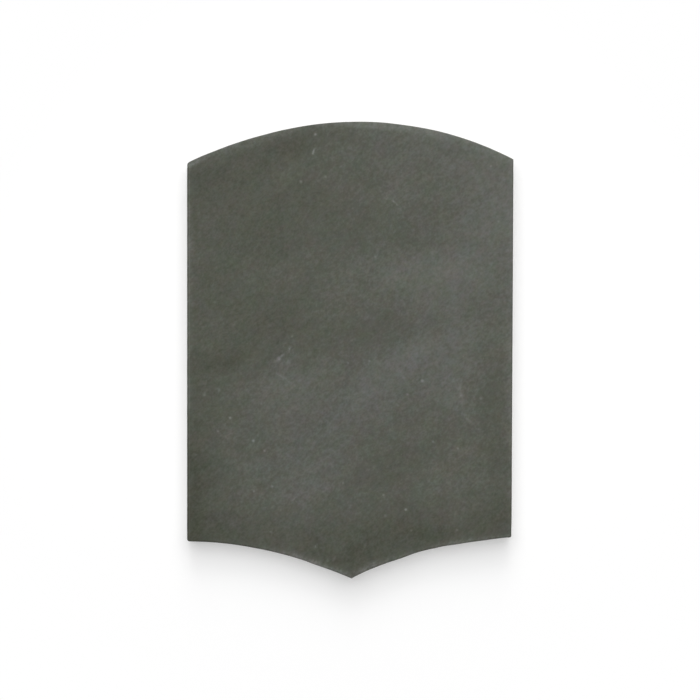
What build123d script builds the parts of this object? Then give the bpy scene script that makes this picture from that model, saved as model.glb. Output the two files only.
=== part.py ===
from build123d import *
import os

# Porcelain wall and floor tile with an arched head and a pointed foot, pressed and fired in one piece.
# It lies face up. Origin: middle of the overall outline, on the back.
# +X runs to the right, +Y towards the arched head, +Z out of the face. All sizes are in millimetres.

# Outline
width = 127.0  # left side to right shoulder
side_length = 147.3  # straight part of each side
crown_rise = 16.1  # top of the arch above the left shoulder
tip_drop = 14.4  # point of the foot below the left foot corner
cove_radius = 162.4  # hollow curve on each side of the point

# How far this piece came out of true
right_lift = 1.5  # the right side sits this much nearer the head than the left side
right_lean = 0.75  # the right side runs in by this at its foot
crown_shift = 3.6  # top of the arch to the right of the middle
tip_shift = 0.5  # point of the foot to the right of the middle

# Section and edges
thickness = 9.0
arris_radius = 0.6  # eased edge of the face
back_bevel = 0.7  # bevelled edge of the back
shoulder_rounding = 1.4  # left shoulder, seen from above
foot_rounding = 1.0  # left foot corner, seen from above

# Keying grooves in the back, for the adhesive
groove_width = 6.0
groove_pitch = 11.0
groove_depth = 0.6
plain_margin = 9.0  # least ungrooved back all round

length = tip_drop + side_length + crown_rise
left_foot = Vector(-width / 2, tip_drop - length / 2)
left_shoulder = left_foot + Vector(0, side_length)
right_shoulder = Vector(width / 2, left_shoulder.Y + right_lift)
right_foot = right_shoulder - Vector(right_lean, side_length)
crown = Vector(crown_shift, length / 2)
tip = Vector(tip_shift, -length / 2)


def outline():
    """The face of the tile seen from above, with its corners still sharp."""
    edges = [
        Line(left_foot, left_shoulder),
        TangentArc(crown, left_shoulder, tangent=(-1, 0)),
        TangentArc(crown, right_shoulder, tangent=(1, 0)),
        Line(right_shoulder, right_foot),
        RadiusArc(right_foot, tip, -cove_radius),
        RadiusArc(tip, left_foot, -cove_radius),
    ]
    return make_face(Wire.combine(edges)[0])


def corner_edge(solid, corner):
    """The upright edge of the solid that stands on a corner of the outline."""
    upright = solid.edges().filter_by(Axis.Z)
    return upright.sort_by(lambda edge: (edge.center() - corner).length)[0]


def rounded_slab():
    """The full thickness, with the rounded corners, the eased face edge and the back bevel."""
    slab = extrude(outline(), thickness)
    middle = Vector(0, 0, thickness / 2)
    slab = fillet(corner_edge(slab, left_shoulder + middle), shoulder_rounding)
    slab = fillet(corner_edge(slab, left_foot + middle), foot_rounding)
    slab = fillet(slab.faces().sort_by(Axis.Z)[-1].edges(), arris_radius)
    return chamfer(slab.faces().sort_by(Axis.Z)[0].edges(), back_bevel)


def keying_grooves():
    """Straight grooves along the tile, kept inside the plain margin."""
    field = offset(outline(), -plain_margin, kind=Kind.INTERSECTION)
    half_field = width / 2 - right_lean - plain_margin - groove_width / 2
    pairs = int(half_field // groove_pitch)
    stripes = [
        Pos(step * groove_pitch, 0) * Rectangle(groove_width, length)
        for step in range(-pairs, pairs + 1)
    ]
    return extrude(field & Sketch(stripes), groove_depth)


tile = rounded_slab() - keying_grooves()

os.makedirs("parts", exist_ok=True)
export_step(tile, "parts/tile.step")
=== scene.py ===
import bpy
import bmesh
import math
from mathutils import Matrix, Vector


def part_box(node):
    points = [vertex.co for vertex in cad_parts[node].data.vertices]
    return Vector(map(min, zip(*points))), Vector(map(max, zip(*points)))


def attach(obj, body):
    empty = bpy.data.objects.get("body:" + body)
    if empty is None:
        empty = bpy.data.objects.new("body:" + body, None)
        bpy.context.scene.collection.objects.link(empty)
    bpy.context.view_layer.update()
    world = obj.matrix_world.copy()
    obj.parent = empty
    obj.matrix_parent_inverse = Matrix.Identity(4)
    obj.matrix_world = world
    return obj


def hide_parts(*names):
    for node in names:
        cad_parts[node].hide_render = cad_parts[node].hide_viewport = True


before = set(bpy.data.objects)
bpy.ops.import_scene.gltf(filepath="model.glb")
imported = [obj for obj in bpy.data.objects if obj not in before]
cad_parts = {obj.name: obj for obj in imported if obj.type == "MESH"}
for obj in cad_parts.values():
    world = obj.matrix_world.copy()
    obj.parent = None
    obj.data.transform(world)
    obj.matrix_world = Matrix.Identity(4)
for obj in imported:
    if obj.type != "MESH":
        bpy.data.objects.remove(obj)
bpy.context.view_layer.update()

mm = 0.001
samePlace = 0.01 * mm  # nearer than this counts as the same place
levelNormal = 0.99  # a face whose normal stands this upright is level
steepNormal = 0.5  # a face whose normal stands less upright than this is a wall
noSpot = 0.001  # radius of a spot that isn't there
tileLow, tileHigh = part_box("tile")
print("frame loaded, tile box", tileLow, tileHigh)


# selecting and editing

def startEditing(piece):
    bpy.ops.object.select_all(action="DESELECT")
    piece.select_set(True)
    bpy.context.view_layer.objects.active = piece
    bpy.ops.object.mode_set(mode="EDIT")
    bpy.ops.mesh.select_mode(type="VERT")
    bpy.ops.mesh.select_all(action="DESELECT")


def pickPoints(piece, test):
    bpy.ops.mesh.select_mode(type="VERT")
    mesh = bmesh.from_edit_mesh(piece.data)
    for point in mesh.verts:
        point.select = test(point.co)
    mesh.select_flush_mode()
    bmesh.update_edit_mesh(piece.data)


def pickEdges(piece, test):
    bpy.ops.mesh.select_mode(type="EDGE")
    bpy.ops.mesh.select_all(action="DESELECT")
    mesh = bmesh.from_edit_mesh(piece.data)
    for edge in mesh.edges:
        edge.select_set(test(edge))
    bmesh.update_edit_mesh(piece.data)


def pickFaces(piece, test):
    bpy.ops.mesh.select_mode(type="FACE")
    bpy.ops.mesh.select_all(action="DESELECT")
    mesh = bmesh.from_edit_mesh(piece.data)
    for face in mesh.faces:
        face.select_set(test(face))
    bmesh.update_edit_mesh(piece.data)


# plan of the tile: corners from the frame's box and the few sizes below

plan = {
    "sideLength": 147.3 * mm,
    "tipDrop": 14.4 * mm,  # point of the foot below the left foot corner
    "coveRadius": 162.4 * mm,  # hollow curves beside the point
    "rightLift": 1.5 * mm,  # the right side sits this much nearer the head
    "rightLean": 0.75 * mm,  # and runs in by this at its foot
    "crownShift": 3.6 * mm,  # top of the arch, right of the middle
    "tipShift": 0.5 * mm,  # point of the foot, right of the middle
    "gridStep": 0.75 * mm,  # size of the mesh on the face
}

leftFoot = Vector((tileLow.x, tileLow.y + plan["tipDrop"]))
leftShoulder = leftFoot + Vector((0, plan["sideLength"]))
rightShoulder = Vector((tileHigh.x, leftShoulder.y + plan["rightLift"]))
rightFoot = rightShoulder - Vector((plan["rightLean"], plan["sideLength"]))
crown = Vector((plan["crownShift"], tileHigh.y))
tip = Vector((plan["tipShift"], tileLow.y))


def headArc(shoulder):  # level at the crown
    across, down = abs(shoulder.x - crown.x), crown.y - shoulder.y
    radius = (across ** 2 + down ** 2) / (2 * down)
    return {"centre": crown - Vector((0, radius)), "radius": radius, "angle": math.asin(across / radius)}


def coveArc(corner):  # hollow, so its centre is below the tile
    chord, radius = tip - corner, plan["coveRadius"]
    outward = Vector((-chord.y, chord.x)).normalized()
    if outward.y > 0:
        outward = -outward
    reach = math.sqrt(radius ** 2 - (chord.length / 2) ** 2)
    return {"centre": (tip + corner) / 2 + outward * reach, "radius": radius,
            "angle": 2 * math.asin(chord.length / 2 / radius)}


headLeft, headRight = headArc(leftShoulder), headArc(rightShoulder)
coveLeft, coveRight = coveArc(leftFoot), coveArc(rightFoot)
rightOut = Vector((plan["sideLength"], -plan["rightLean"])).normalized()


def edgeDistances(x, y):  # how far inside each edge a place is
    place = Vector((x, y))
    head = headLeft if x < crown.x else headRight
    cove = coveLeft if x < tip.x else coveRight
    return {
        "head": head["radius"] - (place - head["centre"]).length,
        "left": x - tileLow.x,
        "right": (rightShoulder - place).dot(rightOut),
        "foot": (place - cove["centre"]).length - cove["radius"],
    }


# face: four arcs spun from the corners, then bridged into a fine grid

def makeFaceGrid():
    bpy.ops.object.select_all(action="DESELECT")
    bpy.ops.mesh.primitive_plane_add(size=1, location=(0, 0, 0))
    piece = bpy.context.object
    piece.name = "tileBody"
    startEditing(piece)
    bpy.ops.mesh.select_all(action="SELECT")
    bpy.ops.transform.resize(value=(tileHigh.x - tileLow.x, plan["sideLength"], 1))
    bpy.ops.transform.translate(value=(0, leftFoot.y + plan["sideLength"] / 2, tileHigh.z))
    bpy.ops.mesh.delete(type="EDGE_FACE")  # the four corners stay
    pickPoints(piece, lambda co: co.x > 0)
    bpy.ops.transform.translate(value=(0, plan["rightLift"], 0))
    pickPoints(piece, lambda co: co.x > 0 and co.y < 0)
    bpy.ops.transform.translate(value=(-plan["rightLean"], 0, 0))
    columns = round((tileHigh.x - tileLow.x) / plan["gridStep"])
    headColumns = round(columns * (crown.x - tileLow.x) / (tileHigh.x - tileLow.x))
    footColumns = round(columns * (tip.x - tileLow.x) / (tileHigh.x - tileLow.x))
    for corner, arc, steps, turn in (
        (leftShoulder, headLeft, headColumns, 1),
        (rightShoulder, headRight, columns - headColumns, -1),
        (leftFoot, coveLeft, footColumns, 1),
        (rightFoot, coveRight, columns - footColumns, -1),
    ):
        pickPoints(piece, lambda co: (co.xy - corner).length < samePlace)
        bpy.ops.mesh.spin(steps=steps, angle=turn * arc["angle"], axis=(0, 0, 1),
                          center=(arc["centre"].x, arc["centre"].y, tileHigh.z))
    bpy.ops.mesh.select_all(action="SELECT")
    bpy.ops.mesh.remove_doubles(threshold=samePlace)
    bpy.ops.mesh.select_mode(type="EDGE")
    bpy.ops.mesh.select_all(action="SELECT")
    rows = round(plan["sideLength"] / plan["gridStep"])
    bpy.ops.mesh.bridge_edge_loops(number_cuts=rows, interpolation="LINEAR")
    bpy.ops.mesh.select_all(action="SELECT")
    bpy.ops.mesh.normals_make_consistent(inside=False)
    return piece


# edges: walls drawn down row by row, face edge eased, back edge bevelled

edges = {
    "arris": 0.6 * mm,  # eased edge of the face
    "arrisSteps": 4,
    "wallRows": 12,
    "backBevel": 0.7 * mm,
    "backBevelSteps": 2,
    "backRim": 1.2 * mm,  # row of faces round the back, for the bevel
    "smoothUnder": 32,  # degrees between faces that are shaded as one surface
}


def addWallsAndBack(piece):
    thickness = tileHigh.z - tileLow.z
    rowHeight = thickness / edges["wallRows"]
    pickEdges(piece, lambda edge: edge.is_boundary)
    for row in range(edges["wallRows"]):
        bpy.ops.mesh.extrude_region_move(TRANSFORM_OT_translate={"value": (0, 0, -rowHeight)})
    bpy.ops.mesh.edge_face_add()
    pickFaces(piece, lambda face: all(abs(point.co.z - tileLow.z) < samePlace for point in face.verts))
    middle, span = (tileLow + tileHigh) / 2, tileHigh - tileLow
    shrink = [1 - 2 * edges["backRim"] / size for size in span.xy]
    bpy.ops.mesh.extrude_region_move(TRANSFORM_OT_translate={"value": (0, 0, 0)})
    bpy.ops.transform.resize(value=(*shrink, 1), center_override=(middle.x, middle.y, tileLow.z))
    bpy.ops.mesh.select_all(action="SELECT")
    bpy.ops.mesh.normals_make_consistent(inside=False)

    def rimOf(height):
        return lambda edge: (
            all(abs(point.co.z - height) < samePlace for point in edge.verts)
            and any(abs(face.normal.z) < steepNormal for face in edge.link_faces)
        )

    pickEdges(piece, rimOf(tileHigh.z))
    bpy.ops.mesh.bevel(offset=edges["arris"], segments=edges["arrisSteps"], profile=0.5, affect="EDGES")
    pickEdges(piece, rimOf(tileLow.z))
    bpy.ops.mesh.bevel(offset=edges["backBevel"], segments=edges["backBevelSteps"], profile=0.5,
                       affect="EDGES")


# back: keying grooves, cut across by bisect and pushed in

grooves = {
    "width": 6.0 * mm,
    "pitch": 11.0 * mm,
    "depth": 0.6 * mm,
    "draft": 0.25 * mm,  # how far the walls slope in
    "margin": 9.0 * mm,  # plain back all round
    "endReach": 1.0 * mm,  # faces with their middle nearer to an end than this are not floor
    "backReach": 0.05 * mm,  # faces of the back lie lower than this
}


def grooveEnds(x):  # where the plain margin stops, at the head and at the foot
    head = headLeft if x < crown.x else headRight
    cove = coveLeft if x < tip.x else coveRight
    headReach, coveReach = head["radius"] - grooves["margin"], cove["radius"] + grooves["margin"]
    top = head["centre"].y + math.sqrt(headReach ** 2 - (x - head["centre"].x) ** 2)
    bottom = cove["centre"].y + math.sqrt(coveReach ** 2 - (x - cove["centre"].x) ** 2)
    return Vector((x, top)), Vector((x, bottom)), head, cove


def cutKeyingGrooves(piece):
    halfField = (tileHigh.x - tileLow.x) / 2 - plan["rightLean"] - grooves["margin"] - grooves["width"] / 2
    count = int(halfField // grooves["pitch"])
    middles = [step * grooves["pitch"] for step in range(-count, count + 1)]

    def backFace(face):
        return face.normal.z < -levelNormal and face.calc_center_median().z < grooves["backReach"]

    for middle in middles:
        for side in (-1, 1):
            pickFaces(piece, backFace)
            bpy.ops.mesh.bisect(plane_co=(middle + side * grooves["width"] / 2, 0, 0), plane_no=(1, 0, 0))
    for middle in middles:
        def inGroove(face):
            centre = face.calc_center_median()
            return backFace(face) and abs(centre.x - middle) < grooves["width"] / 2

        top, bottom, head, cove = grooveEnds(middle)
        for end, arc in ((top, head), (bottom, cove)):
            slope = (end - arc["centre"]).normalized()
            pickFaces(piece, inGroove)
            bpy.ops.mesh.bisect(plane_co=(end.x, end.y, 0), plane_no=(slope.x, slope.y, 0))

        def grooveFloor(face):
            ys = [point.co.y for point in face.verts]
            middleY = (max(ys) + min(ys)) / 2
            return inGroove(face) and bottom.y + grooves["endReach"] < middleY < top.y - grooves["endReach"]

        pickFaces(piece, grooveFloor)
        bpy.ops.mesh.inset(thickness=grooves["draft"], depth=-grooves["depth"])


# rounded corners, seen from above: three are worn round, the others are nearly sharp

corners = {
    "leftShoulder": {"at": leftShoulder, "radius": 1.4 * mm,
                     "outward": (Vector((-1, 0)), (leftShoulder - headLeft["centre"]).normalized())},
    "leftFoot": {"at": leftFoot, "radius": 1.0 * mm,
                 "outward": (Vector((-1, 0)), (coveLeft["centre"] - leftFoot).normalized())},
    "rightShoulder": {"at": rightShoulder, "radius": 0.35 * mm,
                      "outward": (rightOut, (rightShoulder - headRight["centre"]).normalized())},
    "rightFoot": {"at": rightFoot, "radius": 0.7 * mm,
                  "outward": (rightOut, (coveRight["centre"] - rightFoot).normalized())},
    "tip": {"at": tip, "radius": 0.35 * mm,
            "outward": ((coveLeft["centre"] - tip).normalized(), (coveRight["centre"] - tip).normalized())},
}


def roundCorner(piece, corner):
    first, second = corner["outward"]
    bisector = (first + second).normalized()
    centre = corner["at"] - bisector * corner["radius"] / bisector.dot(first)
    turn = first.cross(second)
    for point in piece.data.vertices:
        arm = point.co.xy - centre
        if arm.length < samePlace / 10 or first.cross(arm) * turn < 0 or arm.cross(second) * turn < 0:
            continue  # at the centre, or outside the corner's wedge
        squeeze = max(arm.dot(first), arm.dot(second)) / arm.length
        point.co.x, point.co.y = centre + arm * squeeze


# slow shapes of a pressed and fired face: edges fall away, the middle is not quite flat, walls wander

firing = {
    "pillowDrop": 0.16 * mm,  # fall of the face at its edges
    "pillowReach": 4.0 * mm,
    "swell": 0.16 * mm,
    "swellSize": 45 * mm,
    "ripple": 0.035 * mm,
    "rippleSize": 9 * mm,
    "wallWander": 0.07 * mm,
    "wallWanderSize": 6 * mm,
    "wallWanderFull": 3,  # bevel heights above the floor where the walls wander fully
}


def nearestEdge(point):  # how far inside the nearest edge a point is
    return max(0, min(edgeDistances(point.co.x, point.co.y).values()))


def dropEdges(piece):
    middle = (tileLow.z + tileHigh.z) / 2
    for point in piece.data.vertices:
        fall = max(0, 1 - nearestEdge(point) / firing["pillowReach"]) ** 2
        height = max(0, (point.co.z - middle) / (tileHigh.z - middle))
        point.co.z -= firing["pillowDrop"] * fall * height


def share(value, low, high):  # 0 up to low, 1 from high on
    return min(1, max(0, (value - low) / (high - low)))


def displace(piece, name, weights, direction, depth, size):
    group = piece.vertex_groups.new(name=name)
    for index, weight in enumerate(weights):
        if weight > 0:
            group.add([index], weight, "REPLACE")
    pattern = bpy.data.textures.new(name, "CLOUDS")
    pattern.noise_scale = size
    modifier = piece.modifiers.new(name, "DISPLACE")
    modifier.texture = pattern
    modifier.texture_coords = "LOCAL"
    modifier.direction = direction
    modifier.mid_level = 0
    modifier.strength = -depth
    modifier.vertex_group = name
    bpy.ops.object.modifier_apply(modifier=name)
    piece.vertex_groups.remove(piece.vertex_groups[name])


def fireTile(piece):
    for corner in corners.values():
        roundCorner(piece, corner)
    dropEdges(piece)
    middle = (tileLow.z + tileHigh.z) / 2
    wallFrom = tileLow.z + edges["backBevel"]
    wallTo = tileLow.z + firing["wallWanderFull"] * edges["backBevel"]
    raised, rim = [], []
    for point in piece.data.vertices:
        raised.append(share(point.co.z, middle, tileHigh.z))
        rim.append((1 - share(nearestEdge(point), 0, edges["arris"])) * share(point.co.z, wallFrom, wallTo))
    displace(piece, "swell", raised, "Z", firing["swell"], firing["swellSize"])
    displace(piece, "ripple", raised, "Z", firing["ripple"], firing["rippleSize"])
    displace(piece, "wallWander", rim, "NORMAL", firing["wallWander"], firing["wallWanderSize"])


# a pale chip on the left shoulder

chip = {
    "at": leftShoulder + Vector((0.9, -1.1)) * mm,
    "size": 0.9 * mm,
    "push": (0.18 * mm, -0.12 * mm, -0.28 * mm),  # inwards and down
}


def chipShoulder(piece):
    startEditing(piece)
    rim = tileHigh.z - edges["arris"]
    pickPoints(piece, lambda co: co.z > rim and (co.xy - chip["at"]).length < chip["size"])
    bpy.ops.transform.translate(
        value=chip["push"], use_proportional_edit=True, proportional_size=chip["size"],
        proportional_edit_falloff="SHARP", use_proportional_connected=True)
    bpy.ops.object.mode_set(mode="OBJECT")


# glaze grows paler towards the edges; the mask is kept on the points, in grey levels
# head and foot: how pale at places along x, sides: at places along y

edgeFades = {
    "head": {"reach": 2.8 * mm, "along": 0,
             "pale": ((-63, 12), (-45, 14), (-33, 13), (-12, 8), (8, 16), (29, 17), (50, 11))},
    "left": {"reach": 1.9 * mm, "along": 1, "pale": ((-60, 5), (-39, 3), (-12, 9), (19, 6), (50, 8))},
    "right": {"reach": 2.1 * mm, "along": 1, "pale": ((-62, 7), (-39, 9), (-12, 10), (19, 6), (50, 4))},
    "foot": {"reach": 1.8 * mm, "along": 0,
             "pale": ((-54, 0), (-40, 5), (-26, 16), (-15, 34), (-6, 30), (7, 24), (17, 16), (30, 13),
                      (43, 24), (56, 16))},
}


def valueAlong(stops, at):  # eased from stop to stop
    for (low, lowValue), (high, highValue) in zip(stops, stops[1:]):
        if at < high:
            part = share(at, low, high)
            return lowValue + (highValue - lowValue) * part * part * (3 - 2 * part)
    return stops[-1][1]


def paintEdgeFade(piece):
    fade = piece.data.attributes.new("edgeFade", "FLOAT", "POINT")
    for point in piece.data.vertices:
        inside = edgeDistances(point.co.x, point.co.y)
        fades = []
        for edge, part in edgeFades.items():
            pale = valueAlong(part["pale"], point.co[part["along"]] / mm)
            fades.append(pale * math.exp(-(inside[edge] / part["reach"]) ** 2))
        fade.data[point.index].value = max(fades)


# this piece's edges leave their drawn curves a little: places along x and how far in, in millimetres
# the right side: places along y

outlineWander = {
    "head": ((-60, 0.03), (-50, 0.28), (-35, 0.36), (-25, 0.2), (-10, 0), (12, 0), (20, 0.15), (34, 0.04),
             (64, 0.06)),
    "foot": ((-63, 0.08), (-50, 0.2), (-35, 0.14), (-22, 0.06), (-12, -0.22), (-3, -0.04), (0.5, 0),
             (1.8, 0.18), (6, 0.3), (12, 0.22), (19.5, 0.08), (27, 0.4), (35, 0.23), (43, -0.11),
             (51, -0.17), (57, 0.02), (61, 0.14), (64, 0.02)),
    "right": ((-76, 0.1), (-71, 0.1), (-64, 0)),
    "full": 1.5 * mm,  # moves all that is nearer to the edge than this
    "gone": 8.0 * mm,
}


def wanderOutline(piece):
    for point in piece.data.vertices:
        inside = edgeDistances(point.co.x, point.co.y)
        for edge, along, across, inwards in (("head", 0, 1, -1), ("foot", 0, 1, 1), ("right", 1, 0, -1)):
            near = 1 - share(inside[edge], outlineWander["full"], outlineWander["gone"])
            shift = valueAlong(outlineWander[edge], point.co[along] / mm) * mm
            point.co[across] += inwards * near * shift


# node helpers

def fromSrgb(red, green, blue):
    levels = [level / 255 for level in (red, green, blue)]
    return [level / 12.92 if level <= 0.04045 else ((level + 0.055) / 1.055) ** 2.4 for level in levels] + [1]


def addNode(tree, kind, inputs=None, **settings):  # an input is given another node's output or a value
    node = tree.nodes.new(kind)
    for name, value in settings.items():
        setattr(node, name, value)
    for name, value in (inputs or {}).items():
        if isinstance(value, bpy.types.NodeSocket):
            tree.links.new(value, node.inputs[name])
        else:
            node.inputs[name].default_value = value
    return node


def calc(tree, operation, *values):
    return addNode(tree, "ShaderNodeMath", dict(enumerate(values)), operation=operation).outputs[0]


def vectorCalc(tree, operation, first, second):
    inputs = {0: first, "Scale" if operation == "SCALE" else 1: second}
    return addNode(tree, "ShaderNodeVectorMath", inputs, operation=operation).outputs[0]


def dotProduct(tree, first, second):
    node = addNode(tree, "ShaderNodeVectorMath", {0: first, 1: second}, operation="DOT_PRODUCT")
    return node.outputs["Value"]


def addUp(tree, values):
    total = values[0]
    for value in values[1:]:
        total = calc(tree, "ADD", total, value)
    return total


def remap(tree, value, fromLow, fromHigh, toLow=0.0, toHigh=1.0, smooth=False):
    steps = "SMOOTHSTEP" if smooth else "LINEAR"
    node = addNode(tree, "ShaderNodeMapRange", {0: value, 1: fromLow, 2: fromHigh, 3: toLow, 4: toHigh},
                   interpolation_type=steps)
    return node.outputs[0]


def mixColours(tree, part, first, second):
    node = addNode(tree, "ShaderNodeMix", {0: part, 6: first, 7: second}, data_type="RGBA",
                   clamp_factor=False)
    return node.outputs[2]


def mixValues(tree, part, first, second):
    return addNode(tree, "ShaderNodeMix", {0: part, 2: first, 3: second}, data_type="FLOAT").outputs[0]


def drawnOut(tree, place, stretch, turn=0.0):  # a pattern stretched along each axis, then turned in degrees
    node = addNode(tree, "ShaderNodeMapping", {"Vector": place, "Scale": stretch,
                                               "Rotation": (0, 0, math.radians(turn))}, vector_type="TEXTURE")
    return node.outputs[0]


def noiseAt(tree, place, size, detail=2.0, rough=0.5):  # size of the largest blotches, in the units of place
    node = addNode(tree, "ShaderNodeTexNoise", {"Vector": place, "Scale": 1 / size, "Detail": detail,
                                                "Roughness": rough})
    return node.outputs[0]


def spotsAt(tree, place, spots, channel=0):  # round spots, one in some of the cells
    cells = addNode(tree, "ShaderNodeTexVoronoi", {"Vector": place, "Scale": 1 / spots["spacing"]})
    luck = addNode(tree, "ShaderNodeSeparateColor", {0: cells.outputs["Color"]}).outputs[channel]
    radius = remap(tree, luck, spots["rarity"], 1.0, noSpot, spots["radius"])
    return remap(tree, cells.outputs["Distance"], 0.0, radius, 1.0, 0.0, smooth=True)


def newGroup(name, inputs, outputs):
    tree = bpy.data.node_groups.new(name, "ShaderNodeTree")
    for title, (kind, value) in inputs.items():
        socket = tree.interface.new_socket(name=title, in_out="INPUT", socket_type="NodeSocket" + kind)
        if value is not None:
            socket.default_value = value
    for title, kind in outputs.items():
        tree.interface.new_socket(name=title, in_out="OUTPUT", socket_type="NodeSocket" + kind)
    return tree, tree.nodes.new("NodeGroupInput").outputs, tree.nodes.new("NodeGroupOutput").inputs


def useGroup(tree, group, inputs):
    return addNode(tree, "ShaderNodeGroup", inputs, node_tree=group).outputs


def placeInMm(tree):
    return vectorCalc(tree, "SCALE", addNode(tree, "ShaderNodeTexCoord").outputs["Object"], 1 / mm)


def newMaterial(name, specular):
    material = bpy.data.materials.new(name)
    material.use_nodes = True
    shader = material.node_tree.nodes["Principled BSDF"]
    shader.inputs["Specular IOR Level"].default_value = specular
    return material, material.node_tree, shader


def finishMaterial(tree, shader, colour, rough, height):  # height in millimetres
    tree.links.new(colour, shader.inputs["Base Color"])
    tree.links.new(rough, shader.inputs["Roughness"])
    bump = addNode(tree, "ShaderNodeBump", {"Strength": 1.0, "Distance": mm, "Height": height})
    tree.links.new(bump.outputs[0], shader.inputs["Normal"])


# node groups

def makeSoftPatch():  # adds an oval that fades outwards to a level, at a place given in millimetres
    tree, given, result = newGroup("softPatch", {
        "Level": ("Float", 0.0), "Place": ("Vector", None), "Centre": ("Vector", (0, 0, 0)),
        "Along": ("Vector", (1, 0, 0)), "Across": ("Vector", (0, 1, 0)), "Strength": ("Float", 1.0)},
        {"Level": "Float"})
    away = vectorCalc(tree, "SUBTRACT", given["Place"], given["Centre"])
    along, across = dotProduct(tree, away, given["Along"]), dotProduct(tree, away, given["Across"])
    squared = calc(tree, "MULTIPLY_ADD", along, along, calc(tree, "MULTIPLY", across, across))
    fade = calc(tree, "EXPONENT", calc(tree, "MULTIPLY", squared, -1.0))
    tree.links.new(calc(tree, "MULTIPLY_ADD", fade, given["Strength"], given["Level"]), result["Level"])
    return tree


# unglazed porcelain body: granular, pitted with painted shade in the pits, dragged by the die on the walls,
# kiln wash below
# Noise: size in millimetres, detail and roughness. Between: the noise levels between which it fades in.
# Share: how much of a colour is mixed in at most. Pits: millimetres apart, how rare, and their radius as a
# part of that spacing. The glaze further down is listed in the same way.

clay = {
    "dark": fromSrgb(103, 102, 95),
    "light": fromSrgb(120, 118, 110),
    "grit": fromSrgb(146, 143, 135),
    "dragged": fromSrgb(88, 87, 81),
    # painted shade in the pits: darker than the clay, mixed in where the pits are
    "shadedPit": fromSrgb(62, 61, 57),
    "kilnWash": fromSrgb(160, 157, 150),
    "kilnWashHeight": 0.08,  # millimetres above the floor: only what stood on the kiln shelf
    "blotchNoise": (14, 3, 0.6),
    "blotchBetween": (0.3, 0.7),
    "gritNoise": (0.7, 3, 0.7),
    "gritBetween": (0.35, 0.7),
    "gritShare": 0.45,
    "gritHeight": 0.05,  # heights and depths in millimetres
    "dragStretch": (1, 1, 8),
    "dragNoise": (0.9, 2, 0.6),
    "dragBetween": (0.52, 0.72),
    "dragShare": 0.4,
    "dragHeight": 0.025,
    "pits": {"spacing": 2.4, "rarity": 0.5, "radius": 0.11},
    "pitShadeShare": 0.8,
    "pitDepth": 0.08,
    "washNoise": (11, 5, 0.7),
    "washBetween": (0.46, 0.62),
    "washShare": 0.6,
    "roughBetween": (0.3, 0.7),
    "roughness": (0.8, 0.95),
    "specular": 0.25,
}


def makePressedClay():
    tree, given, result = newGroup("pressedClay", {"Place": ("Vector", None)},
                                   {"Color": "Color", "Roughness": "Float", "Height": "Float"})
    place = given["Place"]
    blotch = remap(tree, noiseAt(tree, place, *clay["blotchNoise"]), *clay["blotchBetween"])
    grit = noiseAt(tree, place, *clay["gritNoise"])
    drag = noiseAt(tree, drawnOut(tree, place, clay["dragStretch"]), *clay["dragNoise"])
    shadedPit = spotsAt(tree, place, clay["pits"])
    gritty = remap(tree, grit, *clay["gritBetween"], 0, clay["gritShare"])
    scraped = remap(tree, drag, *clay["dragBetween"], 0, clay["dragShare"])
    tone = mixColours(tree, blotch, clay["dark"], clay["light"])
    tone = mixColours(tree, gritty, tone, clay["grit"])
    tone = mixColours(tree, scraped, tone, clay["dragged"])
    above = addNode(tree, "ShaderNodeSeparateXYZ", {0: place}).outputs["Z"]
    onShelf = remap(tree, above, tileLow.z / mm + clay["kilnWashHeight"], tileLow.z / mm, smooth=True)
    washed = remap(tree, noiseAt(tree, place, *clay["washNoise"]), *clay["washBetween"], 0, clay["washShare"],
                   smooth=True)
    tone = mixColours(tree, calc(tree, "MULTIPLY", onShelf, washed), tone, clay["kilnWash"])
    # painted shade darkens the pits
    tone = mixColours(tree, calc(tree, "MULTIPLY", shadedPit, clay["pitShadeShare"]), tone, clay["shadedPit"])
    tree.links.new(tone, result["Color"])
    tree.links.new(remap(tree, grit, *clay["roughBetween"], *clay["roughness"]), result["Roughness"])
    height = addUp(tree, [
        calc(tree, "MULTIPLY", grit, clay["gritHeight"]),
        calc(tree, "MULTIPLY", drag, clay["dragHeight"]),
        calc(tree, "MULTIPLY", shadedPit, -clay["pitDepth"]),
    ])
    tree.links.new(height, result["Height"])
    return tree


# matt glaze seen close: tiny crystals, a few pale grains and pinholes

glazeGrain = {
    "crystalNoise": (0.9, 2, 0.8),
    "crystalHeight": 0.02,
    "grains": {"spacing": 4.0, "rarity": 0.72, "radius": 0.09},
    "pinholes": {"spacing": 7.0, "rarity": 0.8, "radius": 0.03},
    "pinholeDepth": 0.06,
}


def makeFineGrain():
    tree, given, result = newGroup("fineGrain", {"Place": ("Vector", None)},
                                   {"Grain": "Float", "Height": "Float"})
    place = given["Place"]
    crystals = noiseAt(tree, place, *glazeGrain["crystalNoise"])
    tree.links.new(spotsAt(tree, place, glazeGrain["grains"]), result["Grain"])
    pinholes = spotsAt(tree, place, glazeGrain["pinholes"], channel=1)
    raised = calc(tree, "MULTIPLY", crystals, glazeGrain["crystalHeight"])
    sunk = calc(tree, "MULTIPLY", pinholes, glazeGrain["pinholeDepth"])
    tree.links.new(calc(tree, "SUBTRACT", raised, sunk), result["Height"])
    return tree


# face glaze: dark grey-green, clouded in soft bands that climb to the right

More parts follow.
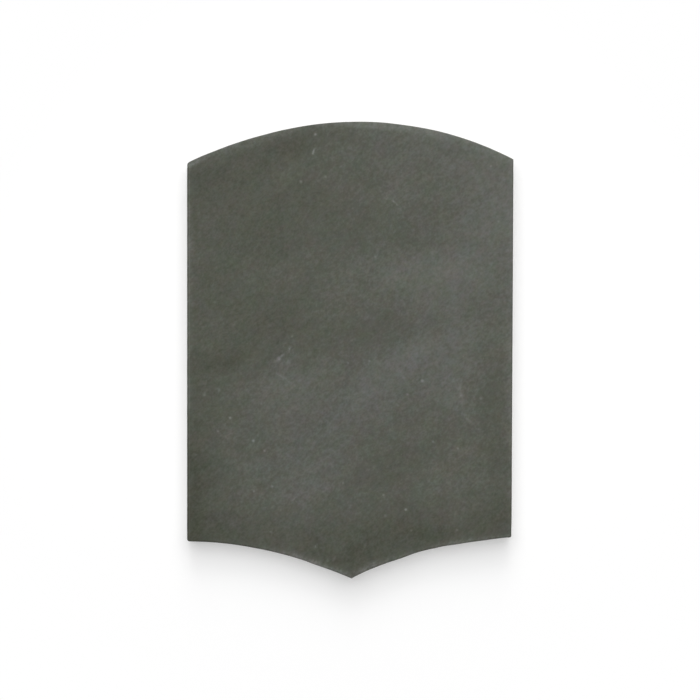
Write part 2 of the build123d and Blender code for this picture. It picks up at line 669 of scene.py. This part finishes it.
glaze = {
    "deep": fromSrgb(40.3, 42.4, 28.7),
    "middle": fromSrgb(76.4, 78.3, 70.1),
    "pale": fromSrgb(109, 110.6, 106.6),
    "levelsAcross": 60,  # grey levels from deep to pale
    "rosyToSage": ((1.05, 0.971, 1.015, 1), (0.95, 1.029, 0.985, 1)),  # tints, multiplied on
    "slateToOlive": ((0.993, 0.993, 1.055, 1), (1.007, 1.007, 0.945, 1)),
    "hueNoise": (7, 4, 0.9),
    "hueBetween": (0.36, 0.64),
    "drift": 16,  # how far and how broadly the clouds are pulled about, in millimetres
    "driftSize": 16,
    "streakTurn": 24,  # degrees
    "streakStretch": (2.0, 1, 1),
    "mottleTurn": 41,
    "mottleStretch": (1.3, 1, 1),
    "fadeNoise": (3, 4, 0.9),  # breaks up the pale edges
    "fadeBetween": (0.36, 0.64),
    "fadeShare": (0.45, 1.55),
    "scuffNoise": (1.1, 2, 0.7),  # breaks up the rubbed marks
    "scuffBetween": (0.35, 0.65),
    "scuffShare": (0.3, 1.7),
    "grainLift": 12.0,  # grey levels
    "line": 1.3,  # where the glaze ends, in millimetres below the eased edge
    "lineWander": 0.5,
    "lineSoftness": 0.06,
    "lineStretch": (1, 1, 3),
    "lineNoise": (5, 3, 0.6),
    "lineBetween": (0.25, 0.75),
    "roughNoise": (5, 3, 0.8),
    "roughBetween": (0.35, 0.65),
    "roughness": (0.66, 0.76),
    "specular": 0.2,
    "thickness": 0.1,  # of the glaze on the clay, in millimetres
}

# mottling from broad to fine: size in millimetres, grey levels between its darkest and palest
streaks = [(16, 9), (8, 4)]
mottles = [(2.8, 2), (1.4, 13), (0.7, 13)]

# painted shade and painted highlight, thin lines just inside the left edge: a dark one on the eased edge, a
# pale one where the face begins; millimetres inside, grey levels
leftArrisHighlightAndShade = {"halfWidth": 0.34, "lines": ((0.45, -7), (0.88, 9))}

# soft clouds: middle x, y and reach along, across in millimetres, turn in degrees, lightness in grey levels
clouds = [
    # the first, broad and pale, lightens the upper right of the face
    (60, 60, 36, 16, 85, 9),
    (26, 31, 26, 7, 8, 7),
    (-6, 33, 12, 7, 0, 3),
    (40, 44, 14, 8, 40, 6),
    (38, 27, 14, 8, 30, 7),
    (24, 16, 12, 6, 10, 5),
    (26, -2, 20, 6, 25, 8),
    (42, 6, 16, 8, 80, 2),
    (40, -14, 12, 6, 60, 7),
    (-22, -13, 20, 8, 20, 8),
    (-26, -24, 10, 6, 20, 5),
    (6, -18, 18, 8, 25, 6),
    (-2, -30, 14, 8, 30, 4),
    (-14, -50, 26, 12, 50, 7),
    (42, -48, 14, 8, 20, 4),
    (14, 78, 26, 10, 0, 4),
    (46, 71, 16, 8, -25, 4),
    (-54, 68, 26, 9, 22, -8),
    (-38, 46, 26, 10, 25, -6),
    (-50, 23, 13, 9, 0, -8),
    (-32, 11, 24, 8, 30, -7),
    (-19, 82, 12, 5, 12, -8),
    (-48, -4, 14, 5, 15, -8),
    (20, 45, 16, 6, 0, -3),
    (8, 10, 24, 7, 10, -3),
    (-66, -52, 40, 11, 90, -17),
    (20, -46, 22, 6, 32, -6),
    (54, -22, 14, 5, 80, -4),
    (60, -46, 10, 6, 90, -3),
    (0, -84, 80, 14, 0, -11),
    (-54, -70, 20, 7, 5, -7),
    (16, -70, 18, 6, 15, -7),
    (2, -77, 7, 5, 40, -4),
    (31, -72, 9, 5, 0, -6),
    (-30, -67, 10, 5, 0, -3),
    (58, -66, 14, 10, 30, -9),
    (7, -82, 7, 2.5, 25, 5),
    (-5, -77, 5, 3, -25, 3),
    (-44, -71, 8, 3, -5, -4),
    (-44, 77, 6, 4, 20, 3),
    (52, -6, 6, 5, 0, 3),
    (44, -19, 6, 4, 0, 2),
    (28, -12, 5, 4, 0, 2),
]

# smaller clouds that keep their place, listed in the same way
smallClouds = [
    (-38, 66, 14, 4.5, 40, -4),
    (15, 77, 5.5, 5, 0, -4.5),
    (47, 72, 7, 3, -20, -4),
    (-6, 83, 3.5, 6, 0, -3),
    (54, 31, 6, 3.5, 0, -4.5),
    (5, 25, 6, 2.8, 35, -5),
    (23, 40.5, 7, 2.5, 10, -3.5),
    (-59, 14, 4, 5, 0, -4),
    (-24, 9.5, 2.8, 2.8, 0, -4),
    (58, -40, 4, 4, 0, -6),
    (42, -47.5, 8, 3, 25, -4),
    (29, -66, 6, 4, -15, -4.5),
    (60, -69, 3, 4, 0, -4),
    (-15, -74, 3, 4, 0, -4),
    (26, -77, 8, 2.5, 10, -3.5),
    (-23, 73.5, 8, 2.5, 10, -2.5),
    (-11, 50, 4, 3, 0, -2.5),
    (46.5, 51, 3, 4, -20, -3.5),
    (44, 42.5, 4, 3, 0, -4),
    (38, 46.5, 2.5, 3, 0, -3),
    (-8, 44, 4.5, 2.5, 0, -3.5),
    (59.5, 36.5, 5, 2, 0, -4.5),
    (11.5, 33, 3, 3, 0, -3.5),
    (28.5, 30, 2.5, 2, 0, -4),
    (-45, 29.5, 6, 2, 0, -3.5),
    (-16, 26, 2, 6, -5, -3),
    (-15, 0, 5, 2.5, 60, -3),
    (-51, -7, 6, 2, 0, -3.5),
    (14, -14, 2.5, 4, 0, -3),
    (35.5, -15, 6, 2.2, 75, -3.5),
    (38, -26, 4, 2.5, 0, -3),
    (-1.5, -28, 2.5, 2.5, 0, -3.5),
    (3.5, -34, 3, 3, 0, -3.5),
    (14, -63, 7, 2, 0, -3),
    (-6, -67, 5, 2.5, 40, -3.5),
    (-16, -66, 2.5, 2.5, 0, -3.5),
    (-39, -74.5, 4, 2, 0, -4),
    (-55, -18, 4.5, 9, 0, -2.5),
    (7, 87, 3, 2.5, 0, 4),
    (35, 82, 4, 3, -10, 4),
    (-60, 55, 4, 3, 20, 3.5),
    (29, 50, 5, 3, 0, 3.5),
    (22, 47, 7, 1.8, 0, 2.5),
    (-17, 37, 5, 3, 40, 3),
    (31, 35.5, 3, 1.8, 20, 4),
    (23, 34, 3, 2, 30, 3.5),
    (18, 28, 3.5, 3.5, 0, 4),
    (26, 24, 5.5, 2.5, 0, 3.5),
    (-57, 1, 4, 5, -20, 3.5),
    (59, 4, 3.5, 5, 0, 3),
    (-38, -2, 5, 2.5, 60, 3),
    (-30, -11, 6, 2, 35, 2.5),
    (-27, -25, 5, 2.5, 40, 3.5),
    (-42, -17.5, 3, 2, 0, 3),
    (-45, -33, 5, 4, 0, 2.5),
    (-23, -47, 2.5, 5, 0, 3),
    (-26, -57, 9, 2.2, 0, 3.5),
    (-38, -60, 3, 2.5, 30, 3.5),
    (61, -57, 2.5, 2.5, 0, 3.5),
    (-61, -72, 2.5, 3, 0, 4),
    (-3, -75, 5, 2.5, 20, 4),
    (16, -76.5, 4, 2.5, 30, 3),
    (38, 57, 6, 3, -10, 3.5),
    (19, 61, 7, 3, 40, 3.5),
    (62, 50, 2.5, 4, 0, 4),
    (-61.5, 38, 2.5, 7, 0, 5),
    (2, 31, 6, 2.5, 25, 4.5),
    (-24, 26, 3.5, 4.5, 0, 3.5),
    (40, 16.5, 4.5, 4, 0, 6),
    (22, 1, 4, 2.5, 0, 4),
    (-24, -7, 2.5, 5, 0, 4),
    (30, -13, 10, 3, 63, 3.5),
    (46, -22, 2.5, 4, 0, 4),
    (47, -34, 5, 3, 0, 3.5),
    (-25, -33, 3, 4, 0, 4),
    (-51, -31, 4.5, 6, 0, 3),
    (-62, -53, 2.5, 5, 0, 5),
    (1, -57.5, 6, 3, 35, 4.5),
    (-24, -78, 5, 2, 0, 4.5),
]

# broad leanings of its hue: middle x, y and reach along, across in millimetres, turn in degrees, share
hueLeanings = {
    "rosyToSage": [
        (-46, 16, 8, 20, 0, 0.2),
        (-36, 42, 8, 6, 0, 0.2),
        (-4, -24, 10, 10, 0, -0.2),
        (36, -64, 18, 8, 0, -0.18),
        (-56, 72, 8, 6, 0, -0.2),
        (-8, -50, 6, 8, 0, -0.16),
    ],
    "slateToOlive": [
        (0, -20, 22, 9, 25, -0.31),
        (-20, -42, 22, 12, 40, -0.23),
        (-8, -56, 8, 6, 40, -0.2),
        (28, 4, 10, 14, 0, -0.24),
        (40, -14, 8, 6, 0, -0.2),
        (52, 52, 10, 10, 0, -0.17),
        (-50, -72, 10, 6, 0, -0.14),
        (-28, 60, 36, 26, 25, 0.17),
        (-22, 14, 34, 14, 15, 0.17),
        (-50, 22, 8, 6, 0, 0.15),
        (-54, -16, 8, 18, 0, 0.17),
        (42, -46, 12, 12, 0, 0.25),
        (58, -24, 6, 20, 0, 0.17),
        (16, -66, 16, 6, 0, 0.17),
    ],
}

# rubbed marks: middle x, y and reach along, across in millimetres, turn in degrees, lightness in grey levels
scuffs = [
    (-14.3, 77.1, 1.2, 0.35, 72, 34),
    (16.9, 57.8, 0.85, 0.45, -34, 28),
    (18.1, 56.5, 0.5, 0.4, -35, 11),
    (14.5, 58.8, 1.1, 0.45, 0, 9),
    (9.7, 36.3, 0.7, 0.45, 60, 14),
    (-26.3, -2.0, 2.4, 0.45, 42, 14),
    (-23.6, 0.7, 0.8, 0.5, 85, 15),
    (-28.5, -4.0, 1.5, 0.9, 40, 9),
    (-27.2, -1.5, 1.2, 0.35, 40, -10),
    (-28.2, 2.8, 0.9, 0.6, 70, -10),
    (-26.1, 1.8, 1.6, 1.1, 60, 5),
    (-26.3, -10.5, 3.0, 0.5, -33, 10),
    (42.8, -16.0, 5.0, 0.8, -82, 6),
    (45.3, -26.3, 2.6, 0.7, -50, 7),
    (49.3, -30.3, 4.2, 0.7, -40, 5),
    (-13.4, -76.4, 0.8, 0.5, 60, 22),
    (-8.7, -81.5, 0.9, 0.45, 65, 20),
    (-6.4, -81.3, 1.0, 0.45, 60, 11),
    (5.7, -76.0, 1.3, 0.5, 60, 13),
    (-22.0, -57.9, 2.0, 0.4, 40, 9),
    (9.3, -82.6, 1.3, 0.6, 25, 14),
    (-60.4, 72.6, 2.6, 0.7, 27, 15),
    (-62.3, 71.8, 1.0, 0.7, 45, 16),
]

# pale grains fired into the glaze: middle x, y and reach in millimetres, lightness in grey levels
paleGrains = [
    (-13.6, 83.8, 0.5, 34),
    (-19.2, 65.4, 0.55, 26),
    (-9.6, 67.3, 0.5, 17),
    (-59.5, 20.3, 0.6, 6),
    (-52.7, 18.8, 0.6, 8),
    (-61.0, 9.5, 0.6, 8),
    (-57.3, 8.7, 0.6, 8),
    (-45.6, 9.8, 0.5, 9),
    (-42.6, 5.9, 0.5, 9),
    (-31.2, 9.5, 0.6, 8),
    (-22.7, 5.3, 0.5, 20),
    (-25.5, 2.6, 0.6, 8),
    (-27.7, -3.3, 0.65, 24),
    (-16.1, -1.4, 0.6, 8),
    (-24.2, -4.8, 0.7, 14),
    (-26.7, -5.4, 0.6, 8),
    (-0.9, -5.0, 0.45, 15),
    (-60.8, -2.6, 0.55, 9),
    (-34.4, -12.5, 0.55, 9),
    (-21.6, -13.8, 0.5, 8),
    (-19.5, -14.7, 0.55, 12),
    (40.3, -11.4, 0.6, 8),
    (49.1, -15.3, 0.5, 9),
    (41.4, -22.0, 0.5, 8),
    (38.3, -26.8, 0.5, 8),
    (54.6, 71.5, 0.45, 14),
    (57.6, 50.1, 0.45, 11),
    (7.4, -4.2, 0.4, 16),
    (28.0, -11.9, 0.45, 44),
    (22.3, -17.2, 0.45, 13),
    (18.6, -21.6, 0.45, 12),
    (50.7, -18.8, 0.5, 18),
    (-56.8, -17.3, 0.7, 19),
    (-50.9, -15.5, 0.8, 11),
    (-34.6, -20.8, 0.45, 16),
    (-46.7, -26.3, 0.45, 34),
    (-51.4, -31.5, 0.45, 20),
    (-37.7, -35.2, 0.45, 40),
    (-33.3, -39.1, 0.45, 26),
    (32.2, -35.6, 0.45, 18),
    (41.8, -38.2, 0.45, 18),
    (-60.0, -40.6, 0.5, 12),
    (-36.2, -46.2, 0.5, 12),
    (-2.8, -51.6, 0.45, 15),
    (-30.3, -53.0, 0.45, 24),
    (-37.5, -54.9, 0.45, 18),
    (12.9, -56.3, 0.45, 20),
    (21.5, -62.0, 0.45, 44),
    (13.7, -64.4, 0.55, 14),
    (43.0, -17.4, 0.5, 12),
    (20.9, -11.0, 0.6, 10),
    (41.4, -69.8, 0.45, 14),
    (-30.9, -70.7, 0.5, 12),
    (23.7, -70.1, 0.5, 18),
]


def addPatches(tree, level, place, patches):  # soft ovals, one on the other
    for x, y, along, across, turn, levels in patches:
        cos, sin = math.cos(math.radians(turn)), math.sin(math.radians(turn))
        level = useGroup(tree, groups["softPatch"], {
            "Level": level, "Place": place, "Centre": (x, y, 0), "Along": (cos / along, sin / along, 0),
            "Across": (-sin / across, cos / across, 0), "Strength": levels})["Level"]
    return level


def makeMattGlaze():
    material, tree, shader = newMaterial("mattGlaze", glaze["specular"])
    place = placeInMm(tree)
    drift = addNode(tree, "ShaderNodeTexNoise", {"Vector": place, "Scale": 1 / glaze["driftSize"],
                                                 "Detail": 2.0}).outputs["Color"]
    wander = vectorCalc(tree, "SUBTRACT", drift, (0.5, 0.5, 0.5))  # noise swings about one half
    drifted = vectorCalc(tree, "ADD", place, vectorCalc(tree, "SCALE", wander, glaze["drift"]))
    brushed = drawnOut(tree, drifted, glaze["streakStretch"], glaze["streakTurn"])
    rubbed = drawnOut(tree, place, glaze["mottleStretch"], glaze["mottleTurn"])
    grain = useGroup(tree, groups["fineGrain"], {"Place": place})
    fade = addNode(tree, "ShaderNodeAttribute", attribute_name="edgeFade").outputs["Fac"]
    fadeShare = remap(tree, noiseAt(tree, rubbed, *glaze["fadeNoise"]), *glaze["fadeBetween"],
                      *glaze["fadeShare"])
    scuffShare = remap(tree, noiseAt(tree, rubbed, *glaze["scuffNoise"]), *glaze["scuffBetween"],
                       *glaze["scuffShare"])
    axes = addNode(tree, "ShaderNodeSeparateXYZ", {0: place}).outputs

    # a painted line along the left edge: highlight where lift is positive, shade where it is negative
    def paintedArrisLine(inside, lift):
        off = calc(tree, "ABSOLUTE", calc(tree, "SUBTRACT", axes["X"], tileLow.x / mm + inside))
        return remap(tree, off, 0, leftArrisHighlightAndShade["halfWidth"], lift, 0, smooth=True)

    def noiseLevels(domain, sizes):
        return [remap(tree, noiseAt(tree, domain, size, 0), 0, 1, -swing / 2, swing / 2)
                for size, swing in sizes]

    marks = calc(tree, "MULTIPLY", addPatches(tree, 0.0, place, scuffs), scuffShare)
    grains = [(x, y, reach, reach, 0, lift) for x, y, reach, lift in paleGrains]
    marks = addPatches(tree, marks, place, grains + smallClouds)
    levels = addUp(tree, [
        addPatches(tree, marks, drifted, clouds),
        *noiseLevels(brushed, streaks),
        *noiseLevels(rubbed, mottles),
        calc(tree, "MULTIPLY", grain["Grain"], glaze["grainLift"]),
        calc(tree, "MULTIPLY", fade, fadeShare),
        *(paintedArrisLine(inside, lift) for inside, lift in leftArrisHighlightAndShade["lines"]),
    ])
    ramp = addNode(tree, "ShaderNodeValToRGB", {
        0: remap(tree, levels, -glaze["levelsAcross"] / 2, glaze["levelsAcross"] / 2)})
    ramp.color_ramp.elements[0].color = glaze["deep"]
    ramp.color_ramp.elements[1].color = glaze["pale"]
    ramp.color_ramp.elements.new(0.5).color = glaze["middle"]
    tone = ramp.outputs["Color"]
    for tints, domain in (("rosyToSage", rubbed), ("slateToOlive", drifted)):
        leaning = remap(tree, noiseAt(tree, domain, *glaze["hueNoise"]), *glaze["hueBetween"])
        leaning = addPatches(tree, leaning, drifted, hueLeanings[tints])
        tint = mixColours(tree, leaning, *glaze[tints])
        tone = vectorCalc(tree, "MULTIPLY", tone, tint)

    body = useGroup(tree, groups["pressedClay"], {"Place": place})
    lineNoise = noiseAt(tree, drawnOut(tree, place, glaze["lineStretch"]), *glaze["lineNoise"])
    wandering = remap(tree, lineNoise, *glaze["lineBetween"], -glaze["lineWander"], glaze["lineWander"])
    line = calc(tree, "SUBTRACT", (tileHigh.z - edges["arris"]) / mm - glaze["line"], wandering)
    above = calc(tree, "SUBTRACT", axes["Z"], line)
    glazed = remap(tree, above, -glaze["lineSoftness"], glaze["lineSoftness"], smooth=True)
    matt = remap(tree, noiseAt(tree, rubbed, *glaze["roughNoise"]), *glaze["roughBetween"],
                 *glaze["roughness"])
    raised = calc(tree, "ADD", grain["Height"], glaze["thickness"])
    finishMaterial(tree, shader, mixColours(tree, glazed, body["Color"], tone),
                   mixValues(tree, glazed, body["Roughness"], matt),
                   mixValues(tree, glazed, body["Height"], raised))
    return material


def makePressedBody():
    material, tree, shader = newMaterial("pressedBody", clay["specular"])
    body = useGroup(tree, groups["pressedClay"], {"Place": placeInMm(tree)})
    finishMaterial(tree, shader, body["Color"], body["Roughness"], body["Height"])
    return material


# the tile, from its grid to its materials

piece = makeFaceGrid()
addWallsAndBack(piece)
cutKeyingGrooves(piece)
bpy.ops.object.mode_set(mode="OBJECT")
print("tile body modelled", len(piece.data.polygons), "faces")
fireTile(piece)
chipShoulder(piece)
paintEdgeFade(piece)
wanderOutline(piece)
bpy.ops.object.shade_smooth_by_angle(angle=math.radians(edges["smoothUnder"]))
print("tile body shaped")

groups = {"softPatch": makeSoftPatch(), "pressedClay": makePressedClay(), "fineGrain": makeFineGrain()}
piece.data.materials.clear()
piece.data.materials.append(makeMattGlaze())
piece.data.materials.append(makePressedBody())
glazeReach = tileHigh.z - edges["arris"] - (glaze["line"] + 2 * glaze["lineWander"]) * mm
for face in piece.data.polygons:  # the glaze's own material goes on a little below its line
    face.material_index = 0 if face.center.z > glazeReach else 1
print("materials made")

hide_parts("tile")
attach(piece, "root")


# floor, lamps and camera

studio = {
    "pictureWidth": 700,  # pixels
    "tileWidthInPicture": 326.9,
    "tileMiddleInPicture": (350.3, 350.1),
    "lens": 100,  # millimetres
    "sensor": 36,
    "floorSize": 8.0,  # metres
    "floorColour": (0.93, 0.93, 0.93, 1),
    "floorLift": 0.052,  # glow that the camera alone sees, so that the lit floor is white
    "shadowReach": 0.122,  # metres from the middle where the floor begins to turn plain white
    "whiteFrom": 0.155,  # and where it is all white
    "roomLight": 0.03,  # of full white, from all round
}

# share is the part of full white that the lamp gives a level white surface
# tilt is from overhead towards +Y and spread is half the lamp's width seen from the tile, both in degrees
lamps = {
    "copyLight": {"share": 0.38, "tilt": 0, "spread": 1.5},
    "bigSoftbox": {"share": 0.52, "tilt": 30, "spread": 36},
    "lowStrip": {"share": 0.1, "tilt": 64, "spread": 14},
}
lampDistance = 6.0  # metres


def addLamps():
    sun = lamps["copyLight"]
    bpy.ops.object.light_add(type="SUN", location=(0, 0, lampDistance))
    light = bpy.context.object
    light.name = "copyLight"
    light.data.energy = sun["share"] * math.pi
    light.data.angle = math.radians(2 * sun["spread"])
    for name in ("bigSoftbox", "lowStrip"):
        lamp = lamps[name]
        tilt, spread = math.radians(lamp["tilt"]), math.radians(lamp["spread"])
        bpy.ops.object.light_add(type="AREA", rotation=(-tilt, 0, 0),
                                 location=(0, lampDistance * math.sin(tilt), lampDistance * math.cos(tilt)))
        light = bpy.context.object
        light.name = name
        light.data.shape = "DISK"
        light.data.size = 2 * lampDistance * math.tan(spread)
        faceOn = math.cos(tilt) * math.cos(spread) ** 2
        light.data.energy = lamp["share"] * (math.pi * lampDistance) ** 2 / faceOn


def seenDirectly(tree):  # by the camera, in a reflection or through glass
    path = addNode(tree, "ShaderNodeLightPath").outputs
    seen = calc(tree, "MAXIMUM", path["Is Camera Ray"], path["Is Glossy Ray"])
    return calc(tree, "MAXIMUM", seen, path["Is Transmission Ray"]), path["Is Camera Ray"]


def addFloor():
    bpy.ops.mesh.primitive_plane_add(size=studio["floorSize"], location=(0, 0, tileLow.z))
    floor = bpy.context.object
    floor.name = "floor"
    material = bpy.data.materials.new("paleFloor")
    material.use_nodes = True
    tree = material.node_tree
    tree.nodes.clear()
    output = addNode(tree, "ShaderNodeOutputMaterial")
    matt = addNode(tree, "ShaderNodeBsdfDiffuse", {"Color": studio["floorColour"]}).outputs[0]
    seen, camera = seenDirectly(tree)
    liftLevel = calc(tree, "MULTIPLY", camera, studio["floorLift"])
    lift = addNode(tree, "ShaderNodeEmission", {"Strength": liftLevel}).outputs[0]
    lit = addNode(tree, "ShaderNodeAddShader", {0: matt, 1: lift}).outputs[0]
    white = addNode(tree, "ShaderNodeEmission", {"Strength": 1.0}).outputs[0]
    place = addNode(tree, "ShaderNodeTexCoord").outputs["Object"]
    away = addNode(tree, "ShaderNodeVectorMath", {0: place}, operation="LENGTH").outputs["Value"]
    far = remap(tree, away, studio["shadowReach"], studio["whiteFrom"], smooth=True)
    bleached = calc(tree, "MULTIPLY", far, seen)
    mix = addNode(tree, "ShaderNodeMixShader", {0: bleached, 1: lit, 2: white}).outputs[0]
    tree.links.new(mix, output.inputs["Surface"])
    floor.data.materials.append(material)


def makeWorld():
    world = bpy.data.worlds.new("paleRoom")
    bpy.context.scene.world = world
    world.use_nodes = True
    tree = world.node_tree
    background = tree.nodes["Background"]
    background.inputs["Color"].default_value = (1, 1, 1, 1)
    seen = seenDirectly(tree)[0]
    tree.links.new(remap(tree, seen, 0.0, 1.0, studio["roomLight"], 1.0), background.inputs["Strength"])


def addCamera():
    pixel = (tileHigh.x - tileLow.x) / studio["tileWidthInPicture"]
    half = studio["pictureWidth"] / 2
    across, down = studio["tileMiddleInPicture"]
    distance = pixel * studio["pictureWidth"] * studio["lens"] / studio["sensor"]
    aim = Vector((half - across, down - half)) * pixel
    bpy.ops.object.camera_add(location=(aim.x, aim.y, tileHigh.z + distance))
    camera = bpy.context.object
    camera.data.lens = studio["lens"]
    camera.data.sensor_width = studio["sensor"]
    bpy.context.scene.camera = camera


addLamps()
addFloor()
makeWorld()
addCamera()
bpy.context.scene.view_settings.view_transform = "Standard"
print("studio ready")
